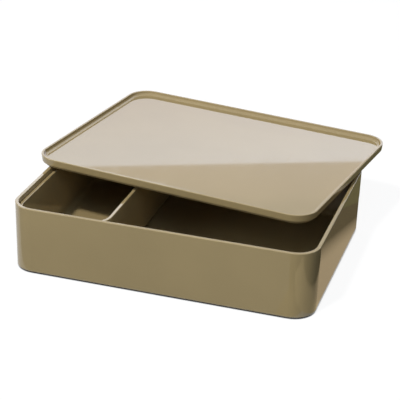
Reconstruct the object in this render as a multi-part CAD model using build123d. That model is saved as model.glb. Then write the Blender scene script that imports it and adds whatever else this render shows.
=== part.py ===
"""Desk organizer: a shallow box, a lift-out insert tray and a loose lift-off lid.

The frame has its origin in the middle of the box's base, +X to the right,
+Y to the back and +Z up. All sizes are in millimetres.
"""

from build123d import *
import os
from math import atan2, degrees

os.makedirs("parts", exist_ok=True)

# Box: an open moulding whose walls lean out slightly from base to rim.
box_width = 260.0
box_depth = 196.0
box_height = 58.0
box_corner_radius = 20.0
box_wall = 3.1
box_floor = 3.0
box_draft = 0.6
box_foot_radius = 1.5
box_rim_radius = 0.6
box_inside_radius = 3.0

# Non-slip pads, let into round pockets so that their faces lie in the base.
pad_diameter = 12.0
pad_thickness = 1.4
pad_inset = 17.0
pad_clearance = 0.1
pad_edge = 0.3

# Insert tray: a smaller box that stands on the floor at the left.
tray_width = 81.5
tray_wall = 3.0
tray_floor = 2.2
tray_drop = 4.0
tray_side_gap = 0.3
tray_seat_gap = 0.1
tray_foot_radius = 5.0
tray_inside_radius = 4.5
tray_rim_radius = 0.7

# Lid: a flat plate in a raised rim, with sides that lean out from the
# underside to the rim and a locating rib underneath.
lid_plate = 2.5
lid_rim_height = 4.0
lid_rim_width = 2.4
lid_draft = 0.8
lid_edge_radius = 0.7
lid_recess_radius = 2.8
lid_rib_height = 2.5
lid_rib_width = 2.0
lid_rib_play = 0.4
lid_rib_radius = 0.5
lid_seat_gap = 0.1

# The lid lies askew on the box's rim, turned clockwise and pushed back.
lid_turn = -8.45
lid_shift_x = -1.0
lid_shift_y = 64.3

# How far from a height an edge may lie and still count as at it.
level_tolerance = 0.001

# Worked out from the sizes above.
draft_angle = degrees(atan2(box_draft, box_height))
cavity_width = box_width - 2 * box_wall
cavity_depth = box_depth - 2 * box_wall
cavity_corner = box_corner_radius - box_wall
tray_depth = cavity_depth - 2 * tray_side_gap
tray_corner = cavity_corner - tray_side_gap
tray_bottom = box_floor + tray_seat_gap
tray_top = box_height - tray_drop
tray_centre_x = (tray_width - cavity_width) / 2 + tray_side_gap
lid_underside = box_height + lid_seat_gap + lid_rib_height
lid_thickness = lid_plate + lid_rim_height
lid_draft_angle = degrees(atan2(lid_draft, lid_thickness))


def at_height(height):
    """Give the level plane at a height above the base."""
    return Plane.XY.offset(height)


def drafted_block(width, depth, corner, bottom, top, angle):
    """Make a round-cornered block of the given size at its top, narrower below."""
    face = at_height(top) * RectangleRounded(width, depth, corner)
    return extrude(face, amount=bottom - top, taper=angle)


def straight_block(width, depth, corner, bottom, top):
    """Make a round-cornered block with upright sides."""
    face = at_height(bottom) * RectangleRounded(width, depth, corner)
    return extrude(face, amount=top - bottom)


def edges_at(solid, height):
    """Pick the edges of a solid that lie wholly at one height."""
    return solid.edges().filter_by_position(Axis.Z, height - level_tolerance, height + level_tolerance)


def hollow(outer, wide, deep, corner, bottom, top, inside_radius):
    """Cut a drafted cavity with a rounded floor edge out of a block."""
    cavity = drafted_block(wide, deep, corner, bottom, top, draft_angle)
    cavity = fillet(edges_at(cavity, bottom), inside_radius)
    return outer - cavity


def pad_places():
    """Give the centres of the four pads, near the corners of the base."""
    reach_x = box_width / 2 - pad_inset
    reach_y = box_depth / 2 - pad_inset
    return [Pos(x, y, 0) for y in (-reach_y, reach_y) for x in (-reach_x, reach_x)]


def make_box_shell():
    """Build the box with its pad pockets."""
    shell = drafted_block(box_width, box_depth, box_corner_radius, 0, box_height, draft_angle)
    shell = fillet(edges_at(shell, 0), box_foot_radius)
    shell = hollow(
        shell, cavity_width, cavity_depth, cavity_corner, box_floor, box_height, box_inside_radius
    )
    shell = fillet(edges_at(shell, box_height), box_rim_radius)
    for place in pad_places():
        pocket = extrude(place * Circle(pad_diameter / 2 + pad_clearance), amount=pad_thickness)
        shell -= pocket
    return shell


def make_pad(place):
    """Build one non-slip pad in its pocket."""
    pad = extrude(place * Circle(pad_diameter / 2), amount=pad_thickness)
    return fillet(edges_at(pad, 0), pad_edge)


def make_insert_tray():
    """Build the insert tray where it stands, against the left wall."""
    tray = drafted_block(tray_width, tray_depth, tray_corner, tray_bottom, tray_top, draft_angle)
    tray = fillet(edges_at(tray, tray_bottom), tray_foot_radius)
    tray = hollow(
        tray,
        tray_width - 2 * tray_wall,
        tray_depth - 2 * tray_wall,
        tray_corner - tray_wall,
        tray_bottom + tray_floor,
        tray_top,
        tray_inside_radius,
    )
    tray = fillet(edges_at(tray, tray_top), tray_rim_radius)
    return Pos(tray_centre_x, 0, 0) * tray


def make_lid():
    """Build the lid and lay it askew on the rim."""
    lid = drafted_block(box_width, box_depth, box_corner_radius, 0, lid_thickness, lid_draft_angle)
    recess = straight_block(
        box_width - 2 * lid_rim_width,
        box_depth - 2 * lid_rim_width,
        box_corner_radius - lid_rim_width,
        lid_plate,
        lid_thickness,
    )
    recess = fillet(edges_at(recess, lid_plate), lid_recess_radius)
    lid -= recess
    lid = fillet(edges_at(lid, lid_thickness), lid_edge_radius)
    lid = fillet(edges_at(lid, 0), lid_edge_radius)
    rib_width = cavity_width - 2 * lid_rib_play
    rib_depth = cavity_depth - 2 * lid_rib_play
    rib_corner = cavity_corner - lid_rib_play
    rib = straight_block(rib_width, rib_depth, rib_corner, -lid_rib_height, 0)
    rib -= straight_block(
        rib_width - 2 * lid_rib_width,
        rib_depth - 2 * lid_rib_width,
        rib_corner - lid_rib_width,
        -lid_rib_height,
        0,
    )
    rib = fillet(edges_at(rib, -lid_rib_height), lid_rib_radius)
    return Pos(lid_shift_x, lid_shift_y, lid_underside) * Rot(0, 0, lid_turn) * (lid + rib)


parts = {
    "box_shell": make_box_shell(),
    "insert_tray": make_insert_tray(),
    "lid": make_lid(),
}
for number, pad_place in enumerate(pad_places(), start=1):
    parts[f"non_slip_pad_{number}"] = make_pad(pad_place)

for name, solid in parts.items():
    export_step(solid, f"parts/{name}.step")
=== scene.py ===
"""Desk organizer with a lift lid: looks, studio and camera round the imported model."""

import logging
import math
from dataclasses import dataclass
from enum import Enum

import bpy
from mathutils import Matrix, Vector

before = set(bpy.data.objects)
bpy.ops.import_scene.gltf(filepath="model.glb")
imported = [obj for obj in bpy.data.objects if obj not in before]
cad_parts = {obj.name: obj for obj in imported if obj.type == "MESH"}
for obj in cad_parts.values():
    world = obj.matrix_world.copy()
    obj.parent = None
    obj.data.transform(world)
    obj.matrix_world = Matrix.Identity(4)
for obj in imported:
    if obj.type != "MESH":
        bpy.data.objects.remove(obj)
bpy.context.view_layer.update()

logging.basicConfig(level=logging.INFO, format="%(message)s")
log = logging.getLogger("desk_organizer")

Colour = tuple[float, float, float]
Point = tuple[float, float, float]
Spot = tuple[float, float]
Span = tuple[float, float]
Outline = tuple[Spot, ...]
Stops = tuple[tuple[float, Colour], ...]
Socket = bpy.types.NodeSocket
Source = Socket | float | tuple[float, ...]

WHITE: Colour = (1.0, 1.0, 1.0)
COOL: Colour = (0.92, 1.0, 1.05)
BLUISH: Colour = (0.84, 1.0, 1.22)

# A colour mix node has several sockets of one name, so these are picked by number.
MIX_FIRST = 6
MIX_SECOND = 7
MIX_RESULT = 2

RIGHTWARDS: Point = (1.0, 0.0, 0.0)
BACKWARDS: Point = (0.0, 1.0, 0.0)

# Where the cards on the floor meet the foot of the box and each other, in metres.
FOOT_RIGHT = 0.1302
FOOT_FRONT = -0.0995
CORNER_LEFT = 0.100
CORNER_BACK = -0.171
CARDS_RIGHT = 0.320
CARDS_FRONT = -0.320


class Finish(Enum):
    """The finishes of the organizer, by the names of their materials."""

    PLASTIC = "greige_moulded_plastic"
    RUBBER = "matt_pad_rubber"


class Easing(Enum):
    """How one range passes into another."""

    STRAIGHT = "LINEAR"
    SMOOTH = "SMOOTHSTEP"


Paints = dict[Finish, bpy.types.Material]


class NodeSheet:
    """Lays out the nodes of a material or a world and joins them."""

    def __init__(self, tree: bpy.types.NodeTree) -> None:
        """Keeps the node tree and clears it."""
        tree.nodes.clear()
        self.tree = tree

    def add(self, kind: str, **settings: object) -> bpy.types.Node:
        """Adds a node and sets its properties and sockets.

        Args:
            kind: Blender's node type name.
            settings: Properties by name, or socket values by name with "_" for a space.

        Returns:
            The new node.
        """
        node = self.tree.nodes.new(kind)
        for name, value in settings.items():
            if hasattr(node, name):
                setattr(node, name, value)
            else:
                node.inputs[name.replace("_", " ")].default_value = value
        return node

    def feed(self, target: Socket, source: Source) -> None:
        """Links a socket to its source, or sets it where the source is a plain value.

        Args:
            target: The socket that gets the value.
            source: Another node's socket, a number or a colour.
        """
        if isinstance(source, Socket):
            self.tree.links.new(source, target)
        else:
            target.default_value = source

    def show(self, shader: Socket, output: str = "ShaderNodeOutputMaterial") -> None:
        """Sends a shader to a new output node."""
        self.feed(self.add(output).inputs["Surface"], shader)

    def place(self) -> Socket:
        """Gives the place on the object, in metres."""
        return self.add("ShaderNodeTexCoord").outputs["Object"]

    def combine(self, operation: str, first: Source, second: Source) -> Socket:
        """Works out one number from two.

        Args:
            operation: Blender's name of the sum.
            first: The first number.
            second: The second number.

        Returns:
            The result.
        """
        node = self.add("ShaderNodeMath", operation=operation)
        self.feed(node.inputs[0], first)
        self.feed(node.inputs[1], second)
        return node.outputs[0]

    def remap(
        self, value: Socket, span: Span, onto: Span = (0.0, 1.0), easing: Easing = Easing.STRAIGHT
    ) -> Socket:
        """Maps one range onto another and holds the value at both ends.

        Args:
            value: The value.
            span: The range that it comes from.
            onto: The range that it goes to.
            easing: How it passes from one end to the other.

        Returns:
            The mapped value.
        """
        node = self.add("ShaderNodeMapRange", interpolation_type=easing.value)
        for name, number in zip(("From Min", "From Max", "To Min", "To Max"), (*span, *onto)):
            node.inputs[name].default_value = number
        self.feed(node.inputs["Value"], value)
        return node.outputs["Result"]

    def ramp(self, value: Socket, stops: Stops) -> Socket:
        """Turns a value from 0 to 1 into a colour.

        Args:
            value: The value.
            stops: At least two positions in order, each with its colour.

        Returns:
            The colour.
        """
        node = self.add("ShaderNodeValToRGB")
        elements = node.color_ramp.elements
        for element, (position, colour) in zip(elements, (stops[0], stops[-1])):
            element.position = position
            element.color = (*colour, 1.0)
        for position, colour in stops[1:-1]:
            element = elements.new(position)
            element.color = (*colour, 1.0)
        self.feed(node.inputs["Fac"], value)
        return node.outputs["Color"]

    def mix_colours(self, share: Socket, first: Source, second: Source) -> Socket:
        """Mixes two colours.

        Args:
            share: The share of the second colour, from 0 to 1.
            first: The first colour.
            second: The second colour.

        Returns:
            The mixed colour.
        """
        node = self.add("ShaderNodeMix", data_type="RGBA")
        self.feed(node.inputs["Factor"], share)
        self.feed(node.inputs[MIX_FIRST], first)
        self.feed(node.inputs[MIX_SECOND], second)
        return node.outputs[MIX_RESULT]

    def mix_shaders(self, share: Socket, first: Socket, second: Socket) -> Socket:
        """Mixes two shaders.

        Args:
            share: The share of the second shader, from 0 to 1.
            first: The first shader.
            second: The second shader.

        Returns:
            The mixed shader.
        """
        node = self.add("ShaderNodeMixShader")
        for index, source in enumerate((share, first, second)):
            self.feed(node.inputs[index], source)
        return node.outputs[0]

    def bump(self, height: Socket, depth: float, under: Socket | None = None) -> Socket:
        """Raises a surface by a height from 0 to 1.

        Args:
            height: The height.
            depth: The depth of the whole relief, in metres.
            under: The normal of a relief that lies under it.

        Returns:
            The normal.
        """
        node = self.add("ShaderNodeBump", Strength=1.0, Distance=depth)
        self.feed(node.inputs["Height"], height)
        if under is not None:
            self.feed(node.inputs["Normal"], under)
        return node.outputs["Normal"]

    def measure(self, place: Socket, along: Point) -> Socket:
        """Measures how far a place lies along a direction.

        Args:
            place: The place.
            along: The direction.

        Returns:
            The distance from the origin.
        """
        node = self.add("ShaderNodeVectorMath", operation="DOT_PRODUCT")
        self.feed(node.inputs[0], place)
        self.feed(node.inputs[1], along)
        return node.outputs["Value"]

    def blend(self, place: Socket, along: Point, reach: Span, colours: tuple[Colour, Colour]) -> Socket:
        """Blends two colours along a direction.

        Args:
            place: The place.
            along: The direction.
            reach: Where the blend starts and ends, in metres along it.
            colours: The colours at its start and end.

        Returns:
            The colour.
        """
        share = self.remap(self.measure(place, along), reach, easing=Easing.SMOOTH)
        first, second = colours
        return self.mix_colours(share, (*first, 1.0), (*second, 1.0))

    def seen_directly(self) -> Socket:
        """Tells the rays that show a surface itself from those that only light other things.

        Returns:
            1 for camera, glossy and transmission rays and 0 for the rest.
        """
        paths = self.add("ShaderNodeLightPath").outputs
        mirrored = self.combine("MAXIMUM", paths["Is Camera Ray"], paths["Is Glossy Ray"])
        return self.combine("MAXIMUM", mirrored, paths["Is Transmission Ray"])


@dataclass(frozen=True)
class Grain:
    """A noise over an object, with its scale, its detail and the weight of its finer steps."""

    scale: float
    detail: float
    fineness: float = 0.5

    def lay(self, sheet: NodeSheet, place: Socket) -> Socket:
        """Adds the noise.

        Args:
            sheet: The node sheet.
            place: The place that it runs over.

        Returns:
            Its value.
        """
        node = sheet.add("ShaderNodeTexNoise", Scale=self.scale, Detail=self.detail)
        node.inputs["Roughness"].default_value = self.fineness
        sheet.feed(node.inputs["Vector"], place)
        return node.outputs["Fac"]


@dataclass(frozen=True)
class MouldedPlastic:
    """Glossy moulded plastic: a smooth skin with faint clouds, flow waves, haze and hairline scratches."""

    colour: Colour = (0.321, 0.238, 0.112)
    refraction: float = 1.5
    clouds: Grain = Grain(scale=14.0, detail=3.0)
    cloud_span: Span = (0.35, 0.65)
    cloud_swing: float = 0.035
    haze: Grain = Grain(scale=60.0, detail=6.0, fineness=0.62)
    haze_span: Span = (0.45, 0.80)
    roughness: Span = (0.02, 0.04)
    hairs: Grain = Grain(scale=1.0, detail=1.0)
    hair_stretch: Point = (1800.0, 35.0, 35.0)
    hair_turn: float = 0.6
    hair_span: Span = (0.66, 0.74)
    hair_roughness: float = 0.10
    flow: Grain = Grain(scale=20.0, detail=2.0)
    flow_depth: float = 2.4e-6
    skin: Grain = Grain(scale=900.0, detail=2.0)
    skin_depth: float = 5.0e-8

    def build(self) -> bpy.types.Material:
        """Makes the material.

        Returns:
            The plastic.
        """
        material, sheet = new_material(Finish.PLASTIC.value)
        shader = sheet.add("ShaderNodeBsdfPrincipled", IOR=self.refraction)
        place = sheet.place()
        sheet.feed(shader.inputs["Base Color"], self.tint(sheet, place))
        sheet.feed(shader.inputs["Roughness"], self.wear(sheet, place))
        sheet.feed(shader.inputs["Normal"], self.relief(sheet, place))
        sheet.show(shader.outputs["BSDF"])
        return material

    def tint(self, sheet: NodeSheet, place: Socket) -> Socket:
        """Gives the colour, a little lighter and darker in clouds.

        Args:
            sheet: The node sheet.
            place: The place on the object.

        Returns:
            The colour.
        """
        low, high = self.cloud_span
        dark = scaled(self.colour, 1.0 - self.cloud_swing)
        light = scaled(self.colour, 1.0 + self.cloud_swing)
        return sheet.ramp(self.clouds.lay(sheet, place), ((low, dark), (high, light)))

    def wear(self, sheet: NodeSheet, place: Socket) -> Socket:
        """Gives the roughness, with a faint haze and hairline scratches all one way.

        Args:
            sheet: The node sheet.
            place: The place on the object.

        Returns:
            The roughness.
        """
        gloss = sheet.remap(self.haze.lay(sheet, place), self.haze_span, onto=self.roughness)
        turn = (0.0, 0.0, self.hair_turn)
        lines = sheet.add("ShaderNodeMapping", Scale=self.hair_stretch, Rotation=turn)
        sheet.feed(lines.inputs["Vector"], place)
        hairs = self.hairs.lay(sheet, lines.outputs["Vector"])
        scratches = sheet.remap(hairs, self.hair_span, onto=(0.0, self.hair_roughness))
        return sheet.combine("ADD", gloss, scratches)

    def relief(self, sheet: NodeSheet, place: Socket) -> Socket:
        """Gives the normal, with long flow waves under a fine skin."""
        waves = sheet.bump(self.flow.lay(sheet, place), self.flow_depth)
        return sheet.bump(self.skin.lay(sheet, place), self.skin_depth, under=waves)


@dataclass(frozen=True)
class PadRubber:
    """Matt dark rubber with a fine grain."""

    colour: Colour = (0.018, 0.016, 0.015)
    refraction: float = 1.5
    roughness: float = 0.75
    grain: Grain = Grain(scale=2500.0, detail=3.0)
    grain_shades: Span = (0.8, 1.3)
    grain_depth: float = 4.0e-5

    def build(self) -> bpy.types.Material:
        """Makes the material.

        Returns:
            The rubber.
        """
        material, sheet = new_material(Finish.RUBBER.value)
        shader = sheet.add("ShaderNodeBsdfPrincipled", IOR=self.refraction, Roughness=self.roughness)
        grain = self.grain.lay(sheet, sheet.place())
        dark, light = (scaled(self.colour, shade) for shade in self.grain_shades)
        sheet.feed(shader.inputs["Base Color"], sheet.ramp(grain, ((0.0, dark), (1.0, light))))
        sheet.feed(shader.inputs["Normal"], sheet.bump(grain, self.grain_depth))
        sheet.show(shader.outputs["BSDF"])
        return material


@dataclass(frozen=True)
class OrganizerBox:
    """The box shell and its four pads."""

    shell: str = "box_shell"
    pads: tuple[str, ...] = ("non_slip_pad_1", "non_slip_pad_2", "non_slip_pad_3", "non_slip_pad_4")

    def dress(self, paints: Paints) -> tuple[str, ...]:
        """Gives the shell its plastic and the pads their rubber.

        Args:
            paints: The materials by finish.

        Returns:
            The names of the pieces.
        """
        coat(self.shell, paints[Finish.PLASTIC])
        for pad in self.pads:
            coat(pad, paints[Finish.RUBBER])
        return (self.shell, *self.pads)


@dataclass(frozen=True)
class InsertTray:
    """The loose tray at the left end of the box."""

    tray: str = "insert_tray"

    def dress(self, paints: Paints) -> tuple[str, ...]:
        """Gives the tray its plastic and returns its name."""
        coat(self.tray, paints[Finish.PLASTIC])
        return (self.tray,)


@dataclass(frozen=True)
class LiftLid:
    """The loose lid, which is a shallow tray itself."""

    lid: str = "lid"

    def dress(self, paints: Paints) -> tuple[str, ...]:
        """Gives the lid its plastic and returns its name."""
        coat(self.lid, paints[Finish.PLASTIC])
        return (self.lid,)


@dataclass(frozen=True)
class ProductCamera:
    """The camera, given by the point it looks at, its direction and roll in radians, and its distance."""

    lens_mm: float = 126.592
    sensor_mm: float = 36.0
    azimuth: float = 0.2915
    elevation: float = 0.4357
    roll: float = 0.0324
    distance: float = 1.3135
    target: Point = (-0.02097, 0.08909, 0.00028)

    def place(self) -> None:
        """Makes the camera and sets it as the scene's camera."""
        data = bpy.data.cameras.new("product_camera")
        data.lens = self.lens_mm
        data.sensor_width = self.sensor_mm
        data.sensor_fit = "HORIZONTAL"
        camera = bpy.data.objects.new("product_camera", data)
        bpy.context.scene.collection.objects.link(camera)
        back = Vector((
            math.sin(self.azimuth) * math.cos(self.elevation),
            -math.cos(self.azimuth) * math.cos(self.elevation),
            math.sin(self.elevation),
        ))
        right = Vector((math.cos(self.azimuth), math.sin(self.azimuth), 0.0))
        up = back.cross(right)
        level, tilt = math.cos(self.roll), math.sin(self.roll)
        turn = Matrix((right * level + up * tilt, up * level - right * tilt, back)).transposed()
        camera.matrix_world = Matrix.Translation(Vector(self.target) + back * self.distance) @ turn.to_4x4()
        bpy.context.scene.camera = camera


@dataclass(frozen=True)
class SoftLamp:
    """A soft square lamp that looks at the middle of the base.

    Its bearing runs in degrees from +Y towards +X, and its elevation in degrees above the floor. Its level
    is the light that it gives a surface facing it, where 1 shows a colour as it is written.
    """

    name: str
    bearing: float
    elevation: float
    level: float
    distance: float = 1.6
    side: float = 0.8
    tint: Colour = WHITE

    def hang(self) -> None:
        """Makes the lamp, which gloss and the camera don't see."""
        data = bpy.data.lights.new(self.name, "AREA")
        data.shape = "SQUARE"
        data.size = self.side
        # A square lamp of this power lights a surface that faces it at the level.
        data.energy = self.level * math.pi**2 * self.distance**2
        data.color = self.tint
        lamp = bpy.data.objects.new(self.name, data)
        bpy.context.scene.collection.objects.link(lamp)
        lift = math.radians(self.elevation)
        outward = bearing_axes(self.bearing)[0]
        away = outward * math.cos(lift) + Vector((0.0, 0.0, math.sin(lift)))
        lamp.location = away * self.distance
        lamp.rotation_mode = "QUATERNION"
        lamp.rotation_quaternion = away.to_track_quat("Z", "Y")
        lamp.visible_camera = False
        lamp.visible_glossy = False


class GlossCard:
    """A glowing card that only gloss sees."""

    def __init__(self, name: str, corners: list[Vector], colour: Colour = WHITE, level: float = 1.0) -> None:
        """Makes the card from its corners.

        Args:
            name: The card's name.
            corners: Its corners in order.
            colour: The colour that it shows, where 1 is white.
            level: How many times that bright it is.
        """
        card = flat_piece(name, corners)
        material, self.sheet = new_material(name)
        self.glow = self.sheet.add("ShaderNodeEmission", Color=(*colour, 1.0), Strength=level)
        self.sheet.show(self.glow.outputs[0])
        card.data.materials.append(material)
        card.visible_camera = False
        card.visible_diffuse = False
        card.visible_shadow = False

    def paint(self, colour: Socket) -> None:
        """Gives the card a colour that changes over it."""
        self.sheet.feed(self.glow.inputs["Color"], colour)

    def shade(self, along: Point, reach: Span, colours: tuple[Colour, Colour]) -> None:
        """Shades the card along a direction, from one colour to another between two distances."""
        self.paint(self.sheet.blend(self.sheet.place(), along, reach, colours))


@dataclass(frozen=True)
class Backdrop:
    """The tall card behind the object and a bright patch pinned before it, which the lid mirrors.

    The stops are heights with their tones: a bright band with a hard upper edge, and a duller one above it.
    Both glow a little more towards the right.
    """

    bearing: float = -24.0
    distance: float = 2.0
    half_width: float = 3.0
    top: float = 1.15
    stops: Stops = (
        (0.738, (0.65, 0.63, 0.67)),
        (0.9256, (0.82, 0.855, 0.95)),
        (0.9264, (0.475, 0.435, 0.415)),
        (1.0, (0.45, 0.415, 0.395)),
        (1.045, (0.35, 0.35, 0.35)),
    )
    level_reach: Span = (-0.1, 0.6)
    levels: Span = (2.92, 3.3)
    patch_gap: float = 0.005
    patch_outline: Outline = ((-0.300, 0.864), (0.270, 1.001), (0.270, 1.104), (-0.300, 0.994))
    patch_reach: Span = (0.13, 0.26)
    patch_colours: tuple[Colour, Colour] = ((0.85, 0.88, 0.96), (0.42, 0.42, 0.42))
    patch_level: float = 3.3

    def stand(self) -> None:
        """Stands the card and pins the patch before it."""
        low, high = (-self.half_width, 0.0), (self.half_width, self.top)
        card = GlossCard("backdrop_card", upright(rectangle(low, high), self.bearing, self.distance))
        sheet = card.sheet
        along = tuple(bearing_axes(self.bearing)[1])
        split = sheet.add("ShaderNodeSeparateXYZ")
        sheet.feed(split.inputs[0], sheet.add("ShaderNodeTexCoord").outputs["Generated"])
        stops = tuple((height / self.top, tone) for height, tone in self.stops)
        card.paint(sheet.ramp(split.outputs["Z"], stops))
        strength = sheet.remap(sheet.measure(sheet.place(), along), self.level_reach, onto=self.levels)
        sheet.feed(card.glow.inputs["Strength"], strength)
        corners = upright(self.patch_outline, self.bearing, self.distance - self.patch_gap)
        patch = GlossCard("patch_card", corners, level=self.patch_level)
        patch.shade(along, self.patch_reach, self.patch_colours)


@dataclass(frozen=True)
class FloorCards:
    """The flat cards round the foot of the box, which its upright faces mirror.

    The cards paint light and shade on the floor for the faces to mirror. The side card passes from a warm
    painted pool of light next to the box to a painted shadow across a slanting shadow line, and each of
    these changes along the depth of the box. The grey card lies behind and paints shade there, the front
    card dims the floor in front, and the corner's card paints light passing into a painted shadow off the
    front right corner.
    """

    height: float = 0.0004
    side_back: float = 0.250
    # Painted light next to the box and painted shadow past the slanting line, both mirrored by the right
    # face.
    side_painted_light_reach: Span = (-0.085, -0.055)
    side_painted_light: tuple[Colour, Colour] = ((1.10, 0.85, 0.47), (0.68, 0.52, 0.315))
    side_painted_shadow_reach: Span = (0.0, 0.05)
    side_painted_shadow: tuple[Colour, Colour] = ((0.0, 0.0, 0.0), (0.13, 0.098, 0.052))
    shadow_along: Point = (1.0, 0.241, 0.0)
    shadow_reach: Span = (0.1436, 0.1606)
    shadow_power: float = 1.6
    grey_height: float = 0.0008
    grey_outline: Outline = (
        (0.200, 0.025),
        (0.300, 0.300),
        (0.060, 0.300),
        (0.060, 0.100),
        (FOOT_RIGHT, 0.154),
    )
    # White at its left, then dark brown painted shade further right, which the faces mirror.
    grey_reach: Span = (0.06, 0.11)
    grey_colours: tuple[Colour, Colour] = ((0.93, 0.93, 0.93), (0.17, 0.15, 0.065))
    front_left: float = -0.350
    front_tone: Colour = (0.36, 0.36, 0.36)
    # The corner's card paints light next to the corner passing into a painted shadow, which the rounded
    # front right corner mirrors as a dark streak.
    corner_along: Point = (0.707, -0.707, 0.0)
    corner_reach: Span = (0.175, 0.21)
    corner_painted_light_and_shadow: tuple[Colour, Colour] = ((0.42, 0.32, 0.18), (0.11, 0.09, 0.06))

    def lay(self) -> None:
        """Lays the cards at the right, behind, in front and off the front right corner."""
        self.lay_side()
        grey = GlossCard("grey_card", flat(self.grey_outline, self.grey_height))
        grey.shade(RIGHTWARDS, self.grey_reach, self.grey_colours)
        front = rectangle((self.front_left, CARDS_FRONT), (CORNER_LEFT, FOOT_FRONT))
        GlossCard("front_card", flat(front, self.height), self.front_tone)
        corner = (
            (CORNER_LEFT, FOOT_FRONT),
            (CORNER_LEFT, CARDS_FRONT),
            (CARDS_RIGHT, CARDS_FRONT),
            (CARDS_RIGHT, CORNER_BACK),
            (FOOT_RIGHT, CORNER_BACK),
            (FOOT_RIGHT, FOOT_FRONT),
        )
        turn = GlossCard("turn_card", flat(corner, self.height))
        turn.shade(self.corner_along, self.corner_reach, self.corner_painted_light_and_shadow)

    def lay_side(self) -> None:
        """Lays the card that the right face mirrors: painted light next to the box, and a painted shadow
        past a slanting line.
        """
        outline = rectangle((FOOT_RIGHT, CORNER_BACK), (CARDS_RIGHT, self.side_back))
        card = GlossCard("side_card", flat(outline, self.height))
        sheet = card.sheet
        place = sheet.place()
        near = sheet.blend(place, BACKWARDS, self.side_painted_light_reach, self.side_painted_light)
        far = sheet.blend(place, BACKWARDS, self.side_painted_shadow_reach, self.side_painted_shadow)
        share = sheet.remap(sheet.measure(place, self.shadow_along), self.shadow_reach)
        card.paint(sheet.mix_colours(sheet.combine("POWER", share, self.shadow_power), near, far))


@dataclass(frozen=True)
class StudioFloor:
    """The pale floor, just under the base, with the object's shadow and a painted contact shade: a thin dark
    line where they meet.
    """

    half: float = 6.0
    drop: float = 0.0008
    paint: float = 0.15
    shadow_paint: float = 0.09
    glow: float = 0.925
    contact_shade_reach: float = 0.004
    contact_shade_span: Span = (0.25, 0.55)
    contact_shade_samples: int = 16

    def lay(self) -> None:
        """Makes the floor: white to the camera and to gloss, and dull in the light that it throws back."""
        square = rectangle((-self.half, -self.half), (self.half, self.half))
        floor = flat_piece("studio_floor", flat(square, -self.drop))
        material, sheet = new_material("pale_floor")
        paint, shadow = (
            sheet.add("ShaderNodeBsdfDiffuse", Color=(tone, tone, tone, 1.0)).outputs[0]
            for tone in (self.paint, self.shadow_paint)
        )
        # Painted contact shade: ambient occlusion darkens the floor's glow next to the base.
        contact = sheet.add("ShaderNodeAmbientOcclusion", Distance=self.contact_shade_reach)
        contact.samples = self.contact_shade_samples
        glow = sheet.add("ShaderNodeEmission", Strength=self.glow)
        sheet.feed(glow.inputs["Color"], sheet.remap(contact.outputs["AO"], self.contact_shade_span))
        white = sheet.add("ShaderNodeAddShader")
        sheet.feed(white.inputs[0], shadow)
        sheet.feed(white.inputs[1], glow.outputs[0])
        sheet.show(sheet.mix_shaders(sheet.seen_directly(), paint, white.outputs[0]))
        floor.data.materials.append(material)


@dataclass(frozen=True)
class Studio:
    """The world, the floor, the cards that the gloss plastic mirrors and the soft lamps."""

    world_level: float = 0.11
    world_tint: Colour = (0.92, 1.0, 1.12)
    flag_bearing: float = 50.0
    flag_distance: float = 2.0
    flag_half_width: float = 0.75
    flag_top: float = 1.0
    flag_tone: Colour = (0.1, 0.1, 0.1)
    top_height: float = 1.6
    top_low: Spot = (-1.5, 0.9)
    top_high: Spot = (1.5, 2.75)
    top_level: float = 2.5
    lamps: tuple[SoftLamp, ...] = (
        SoftLamp("key_lamp", bearing=-162.0, elevation=56.0, level=0.765, distance=3.2, side=0.24),
        SoftLamp("left_fill", bearing=-138.0, elevation=25.0, level=0.245, tint=COOL),
        SoftLamp("front_fill", bearing=165.0, elevation=54.0, level=0.155, tint=BLUISH),
        SoftLamp("side_fill", bearing=146.0, elevation=28.0, level=0.09, tint=BLUISH),
        SoftLamp("back_fill", bearing=40.0, elevation=40.0, level=0.10, distance=1.0, side=0.5),
        SoftLamp("rear_fill", bearing=-32.0, elevation=12.0, level=0.32),
    )

    def build(self) -> None:
        """Makes the world, the floor, the cards and the lamps."""
        self.light_world()
        StudioFloor().lay()
        Backdrop().stand()
        FloorCards().lay()
        flag = rectangle((-self.flag_half_width, 0.0), (self.flag_half_width, self.flag_top))
        GlossCard("side_flag", upright(flag, self.flag_bearing, self.flag_distance), self.flag_tone)
        overhead = rectangle(self.top_low, self.top_high)
        GlossCard("top_card", flat(overhead, self.top_height), level=self.top_level)
        for lamp in self.lamps:
            lamp.hang()

    def light_world(self) -> None:
        """Makes the world white to the camera and to gloss, and a soft level for everything else."""
        world = bpy.data.worlds.new("studio_world")
        world.use_nodes = True
        bpy.context.scene.world = world
        sheet = NodeSheet(world.node_tree)
        soft = sheet.add("ShaderNodeBackground", Color=(*self.world_tint, 1.0), Strength=self.world_level)
        white = sheet.add("ShaderNodeBackground", Color=(*WHITE, 1.0), Strength=1.0)
        mixed = sheet.mix_shaders(sheet.seen_directly(), soft.outputs[0], white.outputs[0])
        sheet.show(mixed, "ShaderNodeOutputWorld")


def scaled(colour: Colour, share: float) -> Colour:
    """Makes a colour lighter or darker."""
    return tuple(part * share for part in colour)


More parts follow.
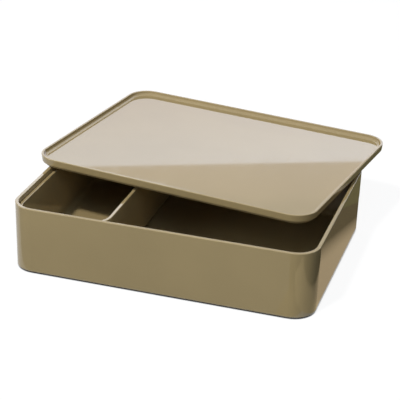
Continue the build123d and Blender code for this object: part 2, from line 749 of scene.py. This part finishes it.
def new_material(name: str) -> tuple[bpy.types.Material, NodeSheet]:
    """Makes a material with an empty node sheet.

    Args:
        name: The material's name.

    Returns:
        The material and its sheet.
    """
    material = bpy.data.materials.new(name)
    material.use_nodes = True
    return material, NodeSheet(material.node_tree)


def rectangle(low: Spot, high: Spot) -> Outline:
    """Gives the four corners of a rectangle from its lower left and upper right ones."""
    return (low, (high[0], low[1]), high, (low[0], high[1]))


def flat(outline: Outline, height: float) -> list[Vector]:
    """Lays an outline flat at a height."""
    return [Vector((x, y, height)) for x, y in outline]


def bearing_axes(bearing: float) -> tuple[Vector, Vector]:
    """Gives two level directions for what stands at a bearing.

    Args:
        bearing: The bearing, in degrees from +Y towards +X.

    Returns:
        The direction away from the middle, and the one across it, to the right.
    """
    angle = math.radians(bearing)
    away = Vector((math.sin(angle), math.cos(angle), 0.0))
    along = Vector((math.cos(angle), -math.sin(angle), 0.0))
    return away, along


def upright(outline: Outline, bearing: float, distance: float) -> list[Vector]:
    """Stands an outline, given across and up, upright at a bearing and a distance from the middle."""
    away, along = bearing_axes(bearing)
    return [away * distance + along * across + Vector((0.0, 0.0, height)) for across, height in outline]


def flat_piece(name: str, corners: list[Vector]) -> bpy.types.Object:
    """Makes a flat piece of one face.

    Args:
        name: The name of the piece.
        corners: Its corners in order.

    Returns:
        The piece.
    """
    mesh = bpy.data.meshes.new(name)
    mesh.from_pydata([tuple(corner) for corner in corners], [], [tuple(range(len(corners)))])
    piece = bpy.data.objects.new(name, mesh)
    bpy.context.scene.collection.objects.link(piece)
    return piece


def coat(node: str, material: bpy.types.Material) -> None:
    """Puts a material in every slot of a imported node."""
    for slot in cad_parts[node].material_slots:
        slot.material = material


def main() -> None:
    """Dresses the organizer and sets the camera and the studio round it."""
    bpy.context.scene.view_settings.view_transform = "Standard"
    paints = {Finish.PLASTIC: MouldedPlastic().build(), Finish.RUBBER: PadRubber().build()}
    for part in (OrganizerBox(), InsertTray(), LiftLid()):
        for piece in part.dress(paints):
            log.info("%s dressed", piece)
    ProductCamera().place()
    Studio().build()


if __name__ == "__main__":
    main()
